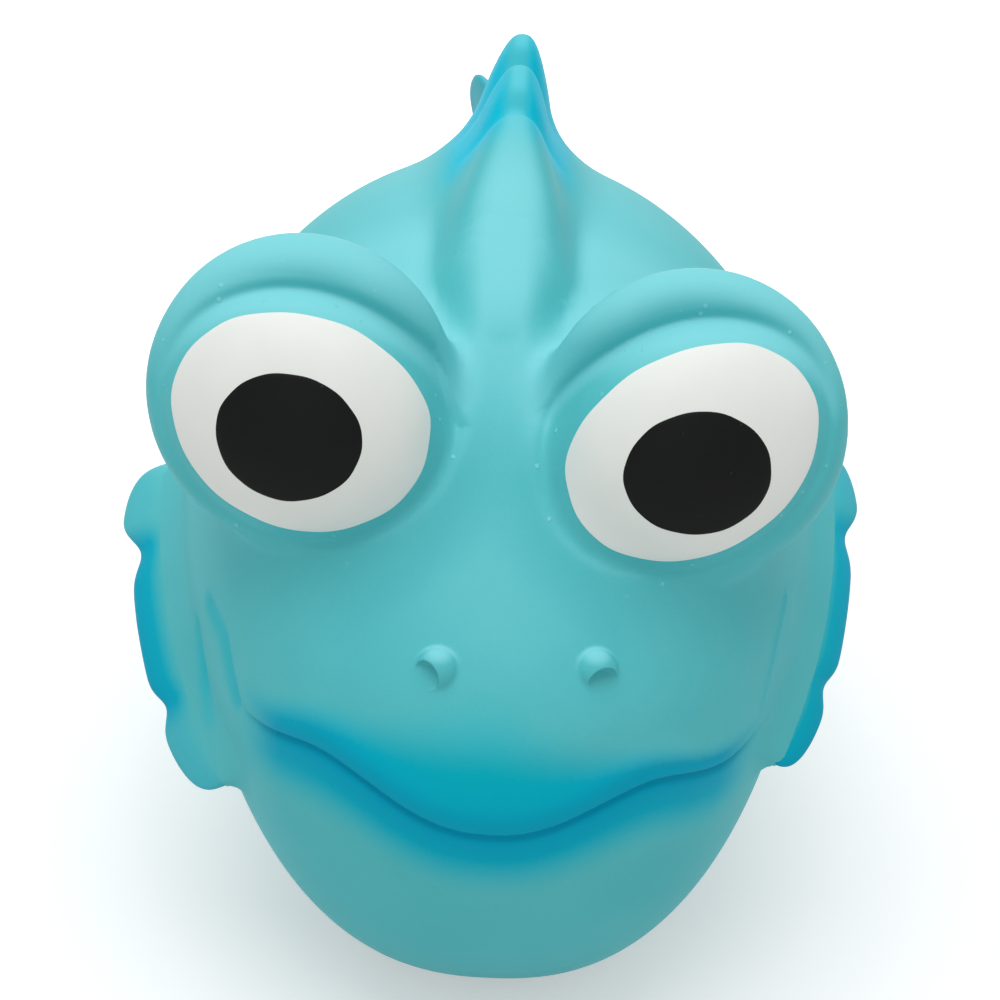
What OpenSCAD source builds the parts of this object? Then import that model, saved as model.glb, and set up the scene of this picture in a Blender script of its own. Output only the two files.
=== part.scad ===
// Squeaky latex fish for a dog: a hollow casting that stands on its flat belly.
// The fish faces -Y, its own left is +X, and z = 0 is the floor it stands on.

/* [Body] */
// Half the body's width at its middle height
body_half_w = 32.5; // [28:0.5:38]
// Length from the body's middle forward to the lips
body_front = 48.5; // [43:0.5:56]
// Length from the body's middle back to the tail root
body_back = 52; // [46:0.5:60]
// Height of the back above the body's middle
body_top = 37.5; // [33:0.5:43]
// Depth of the belly's curve below the body's middle
body_bottom = 37.5; // [34:0.5:42]
// How much of the belly's curve is cut away to make the flat it stands on
flat_cut = 3.5; // [2.5:0.1:5]
// Squareness of the back's curve, where 2 is an ellipse
back_n = 2.0; // [1.9:0.05:2.4]
// Squareness of the belly's curve
belly_n = 2.4; // [2.1:0.05:2.8]
// Share by which the width grows towards the top
top_flare = 0.12; // [0:0.01:0.16]
// Share by which the width shrinks towards the belly
belly_taper = 0.19; // [0.05:0.01:0.25]
// Share by which the width shrinks towards the tail
tail_taper = 0.10; // [0:0.01:0.2]
// Share by which the face slopes back towards the forehead
forehead_slope = 0.18; // [0.1:0.01:0.24]
// Sideways shift of the body's middle towards the fish's left
body_shift = 0.4; // [0:0.1:1]
// Sideways lean of the body towards the fish's right, as a share of the height
body_lean = 0.033; // [0:0.001:0.05]
// Thickness of the latex wall
wall = 3; // [2:0.1:4]
// Thickness of the floor that holds the squeaker
floor_t = 3; // [2.6:0.1:4]
// Height of the belly band that gives way when the toy is squeezed
band_h = 8; // [6:0.5:10]

/* [Eyes] */
// Radius of the eyeball domes
eye_r = 13.8; // [12:0.1:15]
// Distance of an eye's centre from the middle plane
eye_x = 19.4; // [17:0.25:21]
// Sideways shift of both eyes towards the fish's right
eye_shift = 0.5; // [0:0.1:1]
// Distance of an eye's centre in front of the body's middle
eye_forward = 19.5; // [16:0.5:23]
// Height of an eye's centre above the skin
eye_proud = 3.5; // [2:0.1:5]
// Height of the right eye's centre above the left one's
eye_stagger = 1.9; // [0:0.1:3]
// Upward look of the eyes, in degrees
eye_up = 20; // [10:1:26]
// Outward look of the eyes, in degrees
eye_out = 1.5; // [0:0.5:12]
// Half angle of the white cap
white_angle = 56; // [50:0.5:58]
// Half angle of the black pupil
pupil_angle = 31; // [24:0.5:36]
// Thickness of a coat of paint
paint_t = 0.25; // [0.2:0.01:0.4]
// Radius of the brow ridge's centre line round the eye
brow_ring = 12.6; // [11.5:0.1:14]
// Radius of the brow ridge itself
brow_r = 3.2; // [2:0.1:4]
// How far the brow's ring stands above the eye's axis
brow_rise = 1.6; // [0:0.1:2]
// How far the brow's ring stands in front of the eye's centre
brow_forward = 3; // [1:0.1:4]

/* [Face] */
// Half the width of the mouth
mouth_half = 25; // [20:0.5:27]
// Sideways shift of the mouth towards the fish's left
mouth_shift = 1.4; // [0:0.1:2]
// Height of the mouth's middle above the body's middle
mouth_z = -0.4; // [-2:0.1:2]
// Rise of the mouth line from its middle to the cheeks
mouth_rise = 4.1; // [0:0.1:5]
// Fall of the mouth line from the cheeks to its corners
corner_drop = 2.6; // [0:0.1:4]
// Slant of the mouth line down towards the fish's left, as a share of its width
mouth_slant = 0.045; // [0:0.005:0.08]
// Depth of the crease between the lips
mouth_depth = 0.9; // [0.6:0.1:1.6]
// How far the upper lip stands out
lip_proud = 0.6; // [0:0.1:2]
// Height of the nostrils above the body's middle
nostril_z = 14; // [12:0.5:20]
// Distance between the nostrils
nostril_gap = 16; // [12:0.5:20]
// Sideways shift of both nostrils towards the fish's left
nostril_shift = 2.4; // [0:0.1:3]
// Radius of a nostril's bump
nostril_r = 2; // [1.4:0.1:2.6]

/* [Dorsal fin] */
// Where the ridge of the dorsal fin starts, behind the body's middle
dorsal_start = -14; // [-18:0.5:-8]
// Distance from the fin's end forward to the tail root
dorsal_back_gap = 9; // [6:0.5:13]
// Height of the tallest lobe above the back
dorsal_h = 14.5; // [10:0.5:18]
// Distance from one lobe to the next
dorsal_pitch = 9.5; // [8:0.25:11]
// Half the fin's thickness where it is thickest
dorsal_half_t = 4.9; // [3.5:0.1:5.5]
// Half the thickness of the low ridge in front of the lobes
ridge_half_t = 5.8; // [4:0.1:6.5]

/* [Side fins] */
// Length of a side fin's blade
fin_span = 5.7; // [4:0.1:8]
// Length by which the right fin's blade is longer than the left one's
fin_uneven = 1.2; // [0:0.1:2]
// Share by which a side fin's top lobe is longer than the others
fin_crown = 0.22; // [0:0.01:0.4]
// Half the thickness of a side fin at its root
fin_half_t = 2; // [1.5:0.1:2.6]
// Distance of a fin root's lower end in front of the body's middle
fin_front = 28.5; // [24:0.5:32]
// Distance of a fin root's upper end behind the body's middle
fin_back = 4; // [0:0.5:8]
// Depth of a fin root's lower end below the body's middle
fin_low = 7; // [5:0.5:11]
// Height of a fin root's upper end above the body's middle
fin_high = 9.5; // [5:0.5:12]
// Droop of a side fin below level, in degrees
fin_droop = 37; // [25:1:45]
// Height of the left fin above the right one
fin_stagger = 3; // [0:0.5:5]
// Distance of the left fin behind the right one
fin_shift = 3.5; // [0:0.5:5]

/* [Tail fin] */
// Length of the tail's blade
tail_span = 17; // [13:0.5:21]
// Half the height of the tail's root
tail_root = 9; // [7:0.5:11]
// Height of the tail's root above the body's middle
tail_rise = 5; // [0:0.5:7]
// Half the thickness of the tail at its root
tail_half_t = 3; // [2.2:0.1:3.6]
// Sideways curl of the tail's edge, towards the fish's right
tail_curl = 5; // [0:0.5:6]

/* [Squeaker] */
// Distance of the squeaker behind the body's middle
squeaker_y = 11; // [10.5:0.5:14]
// Radius of the squeaker's flange
flange_r = 9.5; // [9:0.1:10]
// Thickness of the squeaker's flange
flange_t = 1.2; // [0.9:0.1:1.5]
// Outer radius of the squeaker's cup
cup_r = 7.2; // [6.8:0.1:7.8]
// Wall of the squeaker's cup
cup_wall = 1.3; // [1:0.1:1.6]
// Height of the cup above the floor
cup_h = 7; // [6:0.25:9]
// Radius of the air hole
air_r = 1.6; // [1:0.1:2]
// Length of the reed
reed_l = 8; // [6:0.25:8.5]
// Width of the reed
reed_w = 4; // [3.4:0.1:5]
// Thickness of the reed
reed_t = 0.3; // [0.2:0.02:0.4]
// Thickness of the block that the reed lies on
block_t = 2; // [1.5:0.1:2.5]
// Thickness of the squeaker's cap
cap_t = 1.2; // [1:0.1:1.6]

/* [Clearances] */
// Gap between a fin's root and the skin
soft_gap = 0.5; // [0.4:0.05:0.8]
// Gap between a coat of paint and what is under it
paint_gap = 0.02; // [0.01:0.01:0.04]
// Gap round the pieces inside the squeaker
fit_gap = 0.1; // [0.05:0.01:0.15]
// How far the squeaker's flange is set up from the floor
flange_lift = 0.4; // [0.2:0.05:0.6]

/* [Hidden] */
$fn = 64;

mid_z = body_bottom - flat_cut;
band_top = floor_t + band_h;
far = 200;
skin_cols = 60;
pole = 84;
ring_step = 30;
latex = "#70ccd3";
airbrush = "#19aac6";

// Helpers on numbers and vectors
function unit(v) = v / norm(v);
function mix(a, b, s) = a * (1 - s) + b * s;
function smooth(s) = let (t = min(max(s, 0), 1)) t * t * (3 - 2 * t);
function bump(s, at, w) = exp(-pow((s - at) / w, 2));

// The skin: a squared ellipsoid whose width follows the height and the length
function flare(z) = z > 0 ? 1 + top_flare * z / body_top : 1 + belly_taper * z / body_bottom;
function narrow(y) = 1 - tail_taper * pow(max(y, 0) / body_back, 2);
function slope(y, z) = y < 0 ? 1 - forehead_slope * smooth((z / body_top - 0.2) / 0.55) : 1;
function sway(z) = body_shift - body_lean * z;
function squareness(dz) = mix(belly_n, back_n, smooth(dz + 0.6));
function half_axes(d) = [body_half_w, d.y < 0 ? body_front : body_back, d.z > 0 ? body_top : body_bottom];
function level(q, inset) =
    let (n = squareness(q.z / norm(q)), h = half_axes(q))
    pow([for (i = [0:2]) pow(abs(q[i]) / (h[i] - inset), n)] * [1, 1, 1], 1 / n);
function skin(d, inset = 0) =
    let (p = d / level(d, inset))
    [p.x * flare(p.z) * narrow(p.y) + sway(p.z), p.y * slope(p.y, p.z), p.z + mid_z];
function ball(lon, lat) = [cos(lat) * cos(lon), cos(lat) * sin(lon), sin(lat)];

// Distance from a point inside the body, along a direction, to the skin
function straight(p) =
    let (z = p.z - mid_z)
    [(p.x - sway(z)) / flare(z) / narrow(p.y), p.y / slope(p.y, z), z];
function reach(p, v, lo = 0, hi = body_front + body_back, turns = 20) =
    let (m = (lo + hi) / 2)
    turns == 0 ? m
    : level(straight(p + m * v), 0) < 1 ? reach(p, v, m, hi, turns - 1)
    : reach(p, v, lo, m, turns - 1);
function on_skin(p, v) = p + reach(p, v) * v;
function outward(p, e = 0.01) = unit([
    for (v = [[e, 0, 0], [0, e, 0], [0, 0, e]])
        level(straight(p + v), 0) - level(straight(p - v), 0)
]);

// A closed solid through rings of points, with a fan of triangles at each end
module loft(rings) {
    m = len(rings);
    n = len(rings[0]);
    points = concat(
        [for (ring = rings) each ring],
        [for (ring = [rings[0], rings[m - 1]]) [for (i = [0:n - 1]) 1 / n] * ring]
    );
    sides = [
        for (i = [0:m - 2], j = [0:n - 1])
            let (a = i * n + j, b = i * n + (j + 1) % n)
            each [[a, a + n, b + n], [a, b + n, b]]
    ];
    ends = [
        for (j = [0:n - 1])
            let (k = (j + 1) % n, t = (m - 1) * n)
            each [[m * n, j, k], [m * n + 1, t + k, t + j]]
    ];
    polyhedron(points, concat(sides, ends));
}

// A fin's cross-section: rounded at the root and at the edge, thinner towards the edge
function fin_ring(root, span, across, thin) = [
    for (a = [0:ring_step:359])
        let (h = (1 - cos(a)) / 2)
        root + span * h + across * sin(a) * (1 - thin * h)
];

// Eyes
function eye_centre(side) =
    on_skin([side * eye_x - eye_shift, -eye_forward, mid_z], [0, 0, 1])
    + [0, 0, eye_proud - side * eye_stagger / 2];

module at_eye(side) {
    translate(eye_centre(side)) rotate([90 - eye_up, 0, side * eye_out]) children();
}

// Brows: a round ridge in an arc over each eye, thinner towards its ends
brow_inner = 20;
brow_sweep = 180;
function eye_axes(side) = [
    [cos(eye_out), side * sin(eye_out), 0],
    [-side * sin(eye_up) * sin(eye_out), sin(eye_up) * cos(eye_out), cos(eye_up)],
    [side * cos(eye_up) * sin(eye_out), -cos(eye_up) * cos(eye_out), sin(eye_up)]
];
brow_tip = 0.3;
brow_trim = 0.02;
function brow_size(s) =
    brow_r * mix(brow_tip, 1, sqrt(sin(180 * mix(brow_trim, 1 - brow_trim, s))));
function brow_point(side, s, turn) =
    let (
        a = brow_inner + brow_sweep * s,
        r = brow_ring + brow_size(s) * cos(turn)
    )
    eye_centre(side)
    + [-side * r * cos(a), brow_rise + r * sin(a), brow_forward + brow_size(s) * sin(turn)] * eye_axes(side);

module brow(side) {
    steps = 18;
    loft([for (i = [0:steps]) [for (turn = [0:ring_step:359]) brow_point(side, i / steps, side * turn)]]);
}

module paint_cap(side, r, half_angle) {
    at_eye(side) difference() {
        intersection() {
            sphere(r + paint_t);
            cylinder(r = r * sin(half_angle), h = 2 * eye_r);
        }
        sphere(r);
    }
}

// Face: a crease with a lip that stands out above it
lip_above = 3;
lip_w = 2.4;
crease_w = 0.9;
mouth_fade = 6;
cheek_x = 0.64 * mouth_half;
cheek_power = 1.3;
function mouth_line(x) =
    mouth_z - mouth_slant * x + mouth_rise * pow(smooth(abs(x) / cheek_x), cheek_power)
    - corner_drop * smooth((abs(x) - cheek_x) / (mouth_half - cheek_x));
function lips(p) =
    let (
        above = p.z - mid_z - mouth_line(p.x),
        fade = smooth((mouth_half - abs(p.x - mouth_shift)) / mouth_fade + 0.5),
        proud = lip_proud * bump(above, lip_above, lip_w) - mouth_depth * bump(above, 0, crease_w)
    )
    p.y > 0 ? 0 : fade * proud;

module nostril(side) {
    at = on_skin([nostril_shift + side * nostril_gap / 2, 0, mid_z + nostril_z], [0, -1, 0]);
    translate(at) sphere(nostril_r, $fn = 32);
}

// The skin with its lips, seen from the body's middle
middle = [0, 0, mid_z];
function outer_point(d) = let (p = skin(d)) p + unit(p - middle) * lips(p);

// Rows of the skin follow the mouth, and lie closest together along it
outer_rows = concat(
    [for (lat = [-pole:7:-14]) lat],
    [-8, -5, -3, -2, -1.2, -0.5, 0, 0.5, 1.2, 2, 3, 4.5, 6.5, 9],
    [for (lat = [13:4:pole]) lat]
);
inner_rows = [for (lat = [-pole:8:pole]) lat];
row_reach = 40;
row_fade = 12;
function mouth_lat(lon) =
    let (p = skin(ball(lon, 0)))
    p.y > 0 ? 0 : atan2(mouth_line(p.x), norm([p.x, p.y])) * smooth(-p.y / row_fade);
function row_lat(lat, lon) = lat + mouth_lat(lon) * max(0, 1 - abs(lat) / row_reach);

module outer_solid() {
    loft([
        for (lat = outer_rows)
            [
                for (j = [0:skin_cols - 1])
                    let (lon = 360 * j / skin_cols)
                    outer_point(ball(lon, row_lat(lat, lon)))
            ]
    ]);
}

module inner_solid() {
    cols = skin_cols / 2;
    loft([for (lat = inner_rows) [for (j = [0:cols - 1]) skin(ball(360 * j / cols, lat), wall)]]);
}

// Body
module slab(low, high) {
    translate([-far / 2, -far / 2, low]) cube([far, far, high - low]);
}

module body_shell() {
    color(latex) difference() {
        union() {
            intersection() {
                outer_solid();
                slab(band_top, far);
            }
            for (side = [-1, 1]) {
                nostril(side);
                translate(eye_centre(side)) sphere(eye_r);
                brow(side);
            }
        }
        inner_solid();
        for (side = [-1, 1]) translate(eye_centre(side)) sphere(eye_r - wall);
    }
}

module belly_skin() {
    color(latex) difference() {
        intersection() {
            outer_solid();
            slab(floor_t, band_top);
        }
        inner_solid();
    }
}

module floor_pad() {
    color(latex) difference() {
        intersection() {
            outer_solid();
            slab(0, floor_t);
        }
        translate([0, squeaker_y, -1]) cylinder(r = cup_r, h = floor_t + 2);
        translate([0, squeaker_y, -1]) cylinder(r = flange_r + fit_gap, h = 1 + flange_lift + flange_t);
    }
}

// Dorsal fin: a ridge that climbs from between the eyes into three lobes
dorsal_end = body_back - dorsal_back_gap;
dorsal_peak = dorsal_end - 1.5 * dorsal_pitch;
dorsal_low = 0.8;
notch_w = 0.18 * dorsal_pitch;
notch_deep = 0.2;
function dorsal_rise(y) = y < dorsal_peak
    ? (y - dorsal_start) / (dorsal_peak - dorsal_start)
    : sqrt(max(0, 1 - pow((y - dorsal_peak) / (dorsal_end - dorsal_peak), 2)));
function dorsal_notch(y) =
    bump(y, dorsal_peak - 0.5 * dorsal_pitch, notch_w)
    + bump(y, dorsal_peak - 1.5 * dorsal_pitch, notch_w);
function dorsal_height(y) =
    dorsal_low + (dorsal_h - dorsal_low) * dorsal_rise(y) * (1 - notch_deep * dorsal_notch(y));

// The fin is widest along the low ridge, and rounds off where the ridge starts
ridge_end = 0.6 * dorsal_peak;
dorsal_gap = soft_gap + ridge_half_t / 20;
function dorsal_thick(y) =
    mix(ridge_half_t, dorsal_half_t, smooth(y / ridge_end))
    * sqrt(smooth((y - dorsal_start + dorsal_low) / dorsal_pitch));

module dorsal_fin() {
    steps = 44;
    thin = 0.35;
    color(latex) loft([
        for (i = [0:steps])
            let (
                y = mix(dorsal_start, dorsal_end, i / steps),
                h = dorsal_height(y),
                root = on_skin([0, y, mid_z], [0, 0, 1]) + [0, 0, dorsal_gap]
            )
            fin_ring(root, [0, 0, h], [dorsal_thick(y), 0, 0], thin)
    ]);
}

// The edge of a fan with rounded ends and two notches, each given as its place, width and depth
fan_trim = 0.04;
fan_blunt = 0.25;
function fan_edge(s, notches) =
    pow(sin(180 * mix(fan_trim, 1 - fan_trim, s)), fan_blunt)
    * (1 - [for (n = notches) n[2] * bump(s, n[0], n[1])] * [1, 1]);

// Side fins: fans with three lobes, which slant up along the flanks and droop
function fin_root(side, s) =
    let (
        middle = [0, side * fin_shift / 2, mid_z + side * fin_stagger / 2],
        p = on_skin(middle + mix([0, -fin_front, -fin_low], [0, fin_back, fin_high], s), [side, 0, 0])
    )
    p + (soft_gap + fin_half_t / 4) * outward(p);
fin_notches = [[0.26, 0.05, 0.2], [0.73, 0.06, 0.2]];

module side_fin(side) {
    steps = 36;
    fan_low = -4;
    fan_high = 12;
    thin = 0.4;
    crown_start = 0.7;
    crown_w = 0.15;
    blade = fin_span - side * fin_uneven / 2;
    hinge = unit(fin_root(side, 1) - fin_root(side, 0));
    droop = [side * cos(fin_droop), 0, -sin(fin_droop)];
    out = unit(droop - (droop * hinge) * hinge);
    across = side * fin_half_t * cross(hinge, out);
    color(airbrush) loft([
        for (i = [0:steps])
            let (
                s = i / steps,
                lift = mix(fan_low, fan_high, s),
                crown = 1 + fin_crown * smooth((s - crown_start) / crown_w),
                along = out * cos(lift) + hinge * sin(lift)
            )
            fin_ring(fin_root(side, s), blade * crown * fan_edge(s, fin_notches) * along, across, thin)
    ]);
}

module left_side_fin() { side_fin(1); }
module right_side_fin() { side_fin(-1); }

// Tail fin: an upright fan with three lobes
function tail_place(s) =
    on_skin([0, 0, mid_z + tail_rise + mix(-tail_root, tail_root, s)], [0, 1, 0]) + [0, soft_gap, 0];
tail_notches = [[0.36, 0.06, 0.18], [0.66, 0.06, 0.18]];

module tail_fin() {
    steps = 36;
    fan_low = -26;
    fan_high = 44;
    thin = 0.4;
    color(latex) loft([
        for (i = [0:steps])
            let (
                s = i / steps,
                lift = mix(fan_low, fan_high, s),
                root = tail_place(s),
                along = tail_span * fan_edge(s, tail_notches) * [0, cos(lift), sin(lift)]
            )
            [
                for (p = fin_ring(root, along, [tail_half_t, 0, 0], thin))
                    p - [tail_curl * pow(norm([p.y - root.y, p.z - root.z]) / tail_span, 2), 0, 0]
            ]
    ]);
}

// Painted eyes
white_r = eye_r + paint_gap;
pupil_r = white_r + paint_t + paint_gap;
module left_eye_white() { color("#e8ece6") paint_cap(1, white_r, white_angle); }
module right_eye_white() { color("#e8ece6") paint_cap(-1, white_r, white_angle); }
module left_pupil() { color("#171918") paint_cap(1, pupil_r, pupil_angle); }
module right_pupil() { color("#171918") paint_cap(-1, pupil_r, pupil_angle); }

// Squeaker: a snap-in cup with a reed inside
cup_bore = cup_r - cup_wall;
seat_z = flange_lift + flange_t;
rim_z = floor_t + cup_h;
snap_t = 1.2;
snap_proud = 1.2;
block_top = seat_z + block_t;
clamp_l = 2.4;
clamp_t = 1.4;
stub_l = 1.4;
reed_back = -reed_l / 2;
recess = 0.3;

module at_squeaker() { translate([0, squeaker_y, 0]) children(); }

module squeaker_cup() {
    color("#f2f2ee") at_squeaker() difference() {
        union() {
            translate([0, 0, flange_lift]) cylinder(r = flange_r, h = flange_t);
            translate([0, 0, flange_lift]) cylinder(r = cup_r, h = rim_z - flange_lift);
            translate([0, 0, floor_t]) cylinder(r = cup_r + snap_proud, h = snap_t);
        }
        translate([0, 0, seat_z]) cylinder(r = cup_bore, h = rim_z);
        cylinder(r = air_r, h = rim_z);
    }
}

module reed_block() {
    color("#e4e4de") at_squeaker() difference() {
        translate([0, 0, seat_z]) cylinder(r = cup_bore - fit_gap, h = block_t);
        cylinder(r = air_r, h = rim_z);
        translate([-reed_w / 2 - fit_gap, reed_back - stub_l, block_top - recess])
            cube([reed_w + 2 * fit_gap, stub_l, 2 * recess]);
    }
}

module reed() {
    color("#d9e6ea") at_squeaker() translate([-reed_w / 2, reed_back - stub_l + fit_gap, block_top])
        cube([reed_w, reed_l - fit_gap, reed_t]);
}

module reed_clamp() {
    tall = clamp_t + reed_t + recess;
    color("#cfd2cd") at_squeaker() intersection() {
        cylinder(r = cup_bore - fit_gap, h = rim_z);
        difference() {
            translate([-cup_r, reed_back - clamp_l, block_top]) cube([2 * cup_r, clamp_l, tall]);
            translate([-reed_w / 2 - fit_gap, reed_back - stub_l, block_top - 1])
                cube([reed_w + 2 * fit_gap, 2 * stub_l, 1 + reed_t + recess]);
        }
    }
}

module squeaker_cap() {
    vents = 3;
    vent_r = 0.7 * air_r;
    color("#f2f2ee") at_squeaker() difference() {
        union() {
            translate([0, 0, rim_z]) cylinder(r = cup_r, h = cap_t);
            translate([0, 0, rim_z - cap_t]) cylinder(r = cup_bore - fit_gap, h = cap_t);
        }
        for (i = [1:vents]) rotate(360 * i / vents)
            translate([cup_bore / 2, 0, 0]) cylinder(r = vent_r, h = 2 * rim_z);
    }
}

body_shell();
belly_skin();
floor_pad();
dorsal_fin();
left_side_fin();
right_side_fin();
tail_fin();
left_eye_white();
right_eye_white();
left_pupil();
right_pupil();
squeaker_cup();
reed_block();
reed();
reed_clamp();
squeaker_cap();
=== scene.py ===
# %% [markdown]
# # A squeaky latex fish
# A dog toy of this kind is one hollow latex casting: the maker fills a plaster mould with liquid latex,
# pours the rest out and lets the skin dry. Blue paint is then sprayed along the mouth and the fins, and the
# eyes are painted by brush. The file loads the built parts as a fixed frame and dresses them, step by step.

# %% Load the frame
import math
from contextlib import contextmanager

import bmesh
import bpy
import numpy as np
from mathutils import Matrix, Vector
from mathutils.bvhtree import BVHTree


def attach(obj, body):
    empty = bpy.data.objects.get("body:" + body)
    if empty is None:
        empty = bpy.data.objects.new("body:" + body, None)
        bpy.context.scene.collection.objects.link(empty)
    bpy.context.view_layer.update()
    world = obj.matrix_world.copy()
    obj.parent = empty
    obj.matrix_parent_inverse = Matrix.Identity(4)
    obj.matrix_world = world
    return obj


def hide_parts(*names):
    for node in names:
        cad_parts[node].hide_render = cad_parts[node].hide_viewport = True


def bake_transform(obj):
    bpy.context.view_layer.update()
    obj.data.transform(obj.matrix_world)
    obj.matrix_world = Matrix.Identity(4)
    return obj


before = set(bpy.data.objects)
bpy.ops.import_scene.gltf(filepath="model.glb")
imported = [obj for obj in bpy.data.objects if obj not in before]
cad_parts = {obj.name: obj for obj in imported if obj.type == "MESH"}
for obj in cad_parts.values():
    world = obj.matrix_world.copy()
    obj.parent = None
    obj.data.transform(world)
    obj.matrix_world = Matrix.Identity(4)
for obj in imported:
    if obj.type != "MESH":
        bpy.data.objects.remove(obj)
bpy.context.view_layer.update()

# %% [markdown]
# ## The skin as a formula
# A casting has no edges to start from, so a cage of hand-placed points would be slow to get smooth. Here the
# fish is a formula instead: a function that takes points and says how far each one is from the surface,
# below zero inside. Two shapes join with a soft fillet by a rounded minimum, as wax does under a warm tool.

# %% Helpers on numbers and points
mm = 0.001


def smooth(s):
    """A soft step from 0 to 1."""
    t = np.clip(s, 0, 1)
    return t * t * (3 - 2 * t)


def bump(s, width):
    return np.exp(-((s / width) ** 2))


def mix(a, b, s):
    return a * (1 - s) + b * s


def join(a, b, fillet):
    """The nearer of two distances, rounded where both are about as near."""
    h = np.maximum(fillet - np.abs(a - b), 0) / fillet
    return np.minimum(a, b) - h * h * fillet / 4


def cut(a, b, fillet):
    """What is inside both shapes, with a rounded edge."""
    return -join(-a, -b, fillet)


def gradient(field, p, step=0.02 * mm):
    return np.stack([(field(p + v) - field(p - v)) / (2 * step) for v in np.eye(3) * step], -1)


def unit(v):
    return v / np.linalg.norm(v, axis=-1, keepdims=True)


print("a fillet of 1 mm fills its corner by", -join(0.0, 0.0, 1 * mm), "m")

# %% The body
BODY_HALF_W = 32.5 * mm
BODY_FRONT = 48.5 * mm
BODY_BACK = 52 * mm
BODY_HALF_H = 37.5 * mm
FLAT_CUT = 3.5 * mm
MID_Z = BODY_HALF_H - FLAT_CUT
MIDDLE = np.array([0, 0, MID_Z])
BACK_SQUARE, BELLY_SQUARE, SQUARE_FROM = 2.0, 2.4, 0.6
TOP_FLARE, BELLY_TAPER, TAIL_TAPER = 0.12, 0.19, 0.10
FOREHEAD_SLOPE, SLOPE_FROM, SLOPE_OVER = 0.18, 0.2, 0.55
BODY_SHIFT, BODY_LEAN = 0.4 * mm, 0.033


def straighten(p):
    """Undoes the lean of the body, the flare of the width and the slope of the forehead."""
    y, z = p[..., 1], p[..., 2] - MID_Z
    x = p[..., 0] - BODY_SHIFT + BODY_LEAN * z
    high = z / BODY_HALF_H
    flare = 1 + np.where(z > 0, TOP_FLARE, BELLY_TAPER) * high
    narrow = 1 - TAIL_TAPER * (np.maximum(y, 0) / BODY_BACK) ** 2
    slope = np.where(y < 0, 1 - FOREHEAD_SLOPE * smooth((high - SLOPE_FROM) / SLOPE_OVER), 1)
    return np.stack([x / flare / narrow, y / slope, z], -1)


def body_level(p, inset=0.0):
    """1 on the skin, less inside: a squared ellipsoid."""
    q = straighten(p)
    upward = q[..., 2] / (np.linalg.norm(q, axis=-1) + 1e-9)
    n = mix(BELLY_SQUARE, BACK_SQUARE, smooth(upward + SQUARE_FROM))
    half_y = np.where(q[..., 1] < 0, BODY_FRONT, BODY_BACK)
    half = np.stack([np.full_like(half_y, BODY_HALF_W), half_y, np.full_like(half_y, BODY_HALF_H)], -1)
    return np.sum((np.abs(q) / (half - inset)) ** n[..., None], -1) ** (1 / n)


def body_distance(p, inset=0.0):
    return np.linalg.norm(p - MIDDLE, axis=-1) * (1 - 1 / (body_level(p, inset) + 1e-6))


def on_skin(start, way):
    """Where a ray from inside the body meets the skin, found by halving."""
    start, way = np.asarray(start, float), np.asarray(way, float)
    near, far = 0.0, 2 * BODY_BACK
    for _ in range(30):
        m = (near + far) / 2
        near, far = (m, far) if body_level(start + m * way) < 1 else (near, m)
    return start + near * way


print("skin: nose tip at", np.round(on_skin(MIDDLE, (0, -1, 0)), 4))

# %% [markdown]
# ## Eyes and brows
# Each eye is a dome a little wider than it is high, leaning down towards the nose, with a thick brow over
# it. A dome is an ellipsoid with its front pressed flatter, and a brow is a bent tube that is thickest at the
# top. A shallow crease runs round each painted white, so the places of the paint are given here too.

# %% Eye domes
SIDES = {"left": 1, "right": -1}
EYE_X, EYE_SHIFT, EYE_FORWARD = 19.4 * mm, 0.5 * mm, 19.5 * mm
EYE_PROUD, EYE_STAGGER = 3.5 * mm, 1.9 * mm
EYE_UP, EYE_TILT, EYE_OUT = 22, 25, 10
DOME = np.array([14.9, 13.3, 13.8]) * mm
DOME_AHEAD, DOME_FRONT, DOME_FLAT, SHOULDER = 2.8 * mm, 10.8 * mm, 27 * mm, 4 * mm


def turn(degrees):
    a = math.radians(degrees)
    return math.cos(a), math.sin(a)


def eye_frame(side, out=EYE_OUT, tilt=EYE_TILT):
    """Three unit vectors at an eye: across, up and ahead, with the first two turned by the tilt."""
    (cu, su), (co, so), (ct, st) = turn(EYE_UP), turn(out), turn(tilt)
    ahead = np.array([side * so * cu, -co * cu, su])
    across = np.array([co, side * so, 0])
    up = np.cross(ahead, across)
    leaning = ct * across + side * st * up
    return np.stack([leaning, np.cross(ahead, leaning), ahead])


def eye_place(side):
    base = on_skin((side * EYE_X - EYE_SHIFT, -EYE_FORWARD, MID_Z), (0, 0, 1))
    return base + [0, 0, EYE_PROUD - side * EYE_STAGGER / 2]


eye_centre = {side: eye_place(side) for side in SIDES.values()}


def eye_field(q):
    """Distance from a dome, for points in the eye's own frame."""
    q = q - [0, 0, DOME_AHEAD]
    near, steep = np.linalg.norm(q / DOME, axis=-1), np.linalg.norm(q / DOME**2, axis=-1)
    front = np.linalg.norm(q - [0, 0, DOME_FRONT - DOME_FLAT], axis=-1) - DOME_FLAT
    return cut(near * (near - 1) / (steep + 1e-9), front, SHOULDER)


def dome_distance(p, side):
    return eye_field((p - eye_centre[side]) @ eye_frame(side).T)


print("eyes:", [np.round(eye_centre[s], 4).tolist() for s in SIDES.values()])

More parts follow.
